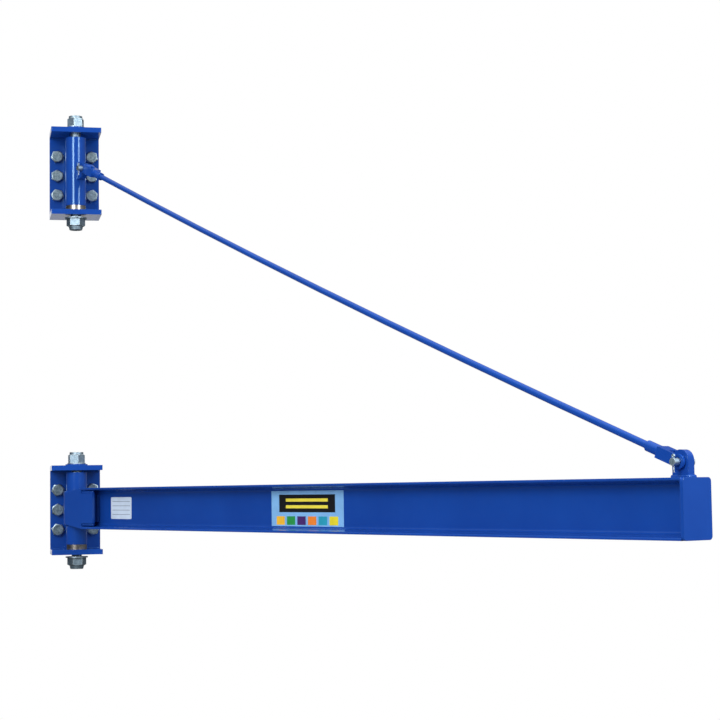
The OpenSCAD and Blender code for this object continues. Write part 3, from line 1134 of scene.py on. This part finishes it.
@dataclass
class Studio:
    """The camera, the lamps and the pale surroundings."""

    place: Vector = field(default_factory=lambda: Vector((-0.2595, -4.6341, 0.0454)))
    heading: float = 12.393
    tilt: float = 4.131
    roll: float = -0.819
    lens: float = 88.47
    lamps: tuple[Softbox, ...] = (Softbox("left_softbox", -30, (1.1, 2.5), 118),
                                  Softbox("right_softbox", 33, (0.7, 2.5), 80))
    ambient: tuple[float, float] = (0.08, 1.55)
    ambient_back: float = 0.7
    dim: float = 0.03
    mirrored_front: float = 0.12
    mirrored_right: float = 0.15
    mirrored_above: float = 0.9
    floor_height: float = -1.4
    floor_reach: float = 40.0
    floor_grey: float = 0.3
    floor_mirrored: tuple[float, float] = (0.08, 0.6)
    glow_distances: tuple[float, float] = (2.0, 5.0)
    glow_shares: tuple[float, float] = (0.65, 1.0)

    def build(self) -> None:
        """Makes the camera, the world, the floor and the lamps."""
        self.aim_camera()
        self.light_world()
        self.lay_floor()
        for lamp in self.lamps:
            lamp.hang()

    def aim_camera(self) -> None:
        """Makes the camera and points it."""
        data = bpy.data.cameras.new("camera")
        data.lens = self.lens
        data.sensor_width = 36
        data.clip_start = 0.05
        data.clip_end = 100
        camera = new_object("camera", data)
        turn = (Matrix.Rotation(-math.radians(self.heading), 4, "Z")
                @ Matrix.Rotation(math.radians(90 + self.tilt), 4, "X")
                @ Matrix.Rotation(math.radians(self.roll), 4, "Z"))
        camera.matrix_world = Matrix.Translation(self.place) @ turn
        bpy.context.scene.camera = camera

    def light_world(self) -> None:
        """Makes a world that lights softly, and that the camera sees as white.

        Reflections see white behind the crane, a pale sky above it and a dim studio elsewhere.
        """
        world = bpy.data.worlds.new("studio")
        world.use_nodes = True
        bpy.context.scene.world = world
        world.node_tree.nodes.clear()
        graph = NodeGraph(world.node_tree)
        way = graph.add("ShaderNodeSeparateXYZ")
        graph.join(graph.add("ShaderNodeTexCoord").outputs["Generated"], way.inputs[0])
        back = graph.spread(way.outputs["Y"], 0.8, 1.0, self.dim, 1.0)
        front = graph.spread(way.outputs["Y"], 0.1, -0.8, 0.0, self.mirrored_front)
        right = graph.spread(way.outputs["X"], 0.3, 1.0, 0.0, self.mirrored_right)
        above = graph.spread(way.outputs["Z"], 0.4, 1.0, 0.0, self.mirrored_above)
        mirrored = graph.math("ADD", graph.math("ADD", back, above), graph.math("ADD", front, right))
        seen, glossy = graph.rays()
        soft = graph.math("ADD", graph.spread(way.outputs["Z"], 0.0, 1.0, *self.ambient),
                          graph.spread(way.outputs["Y"], 0.0, 1.0, 0.0, self.ambient_back))
        level = graph.lerp(glossy, soft, mirrored)
        light = graph.add("ShaderNodeBackground")
        light.inputs["Color"].default_value = (1, 1, 1, 1)
        graph.join(graph.lerp(seen, level, 1.0), light.inputs["Strength"])
        graph.join(light.outputs[0], graph.add("ShaderNodeOutputWorld").inputs["Surface"])

    def lay_floor(self) -> None:
        """Lays the pale floor, well below the crane: it keeps the shadow and pales to white far off."""
        shape = bmesh.new()
        corners = [shape.verts.new((x * self.floor_reach, y * self.floor_reach, self.floor_height))
                   for x, y in ((-1, -1), (1, -1), (1, 1), (-1, 1))]
        shape.faces.new(corners)
        mesh = bpy.data.meshes.new("floor")
        shape.to_mesh(mesh)
        shape.free()
        floor = new_object("floor", mesh)
        mesh.materials.append(self.floor_material())

    def floor_material(self) -> bpy.types.Material:
        """Builds the floor's material: grey paint near the crane, and a plain glow far off.

        Returns:
            The material.
        """
        graph = ShaderGraph("pale_floor")
        graph.set(Base_Color=(self.floor_grey, self.floor_grey, self.floor_grey, 1), Roughness=0.8)
        far = graph.add("ShaderNodeVectorMath", operation="LENGTH")
        graph.join(graph.place, far.inputs[0])
        distance = far.outputs["Value"]
        back = graph.add("ShaderNodeSeparateXYZ")
        graph.join(graph.place, back.inputs[0])
        seen, glossy = graph.rays()
        fade = graph.spread(distance, *self.glow_distances, *self.glow_shares)
        share = graph.math("MAXIMUM", graph.math("MULTIPLY", seen, fade), glossy)
        behind = graph.math("DIVIDE", back.outputs["Y"], distance)
        mirrored = graph.spread(behind, 0.85, 1.0, *self.floor_mirrored)
        glow = graph.add("ShaderNodeEmission")
        graph.join(graph.lerp(glossy, 1.0, mirrored), glow.inputs["Strength"])
        mix = graph.add("ShaderNodeMixShader")
        graph.join(share, mix.inputs[0])
        graph.join(graph.shader.outputs[0], mix.inputs[1])
        graph.join(glow.outputs[0], mix.inputs[2])
        graph.join(mix.outputs[0], graph.tree.nodes["Material Output"].inputs["Surface"])
        return graph.material


def main() -> None:
    """Builds the dressed crane and its studio."""
    logging.basicConfig(level=logging.INFO, format="%(name)s %(message)s")
    bpy.context.scene.view_settings.view_transform = "Standard"
    Studio().build()
    finishes = Finishes()
    finishes.dress_frame()
    welder = Welder(finishes.enamel)
    threads = ThreadTree()
    for bracket in Bracket:
        WallBracket(bracket, welder, finishes.zinc).build(threads)
    line = boom_line()
    Boom(line, welder).build()
    WebPlates(line).build()


if __name__ == "__main__":
    main()
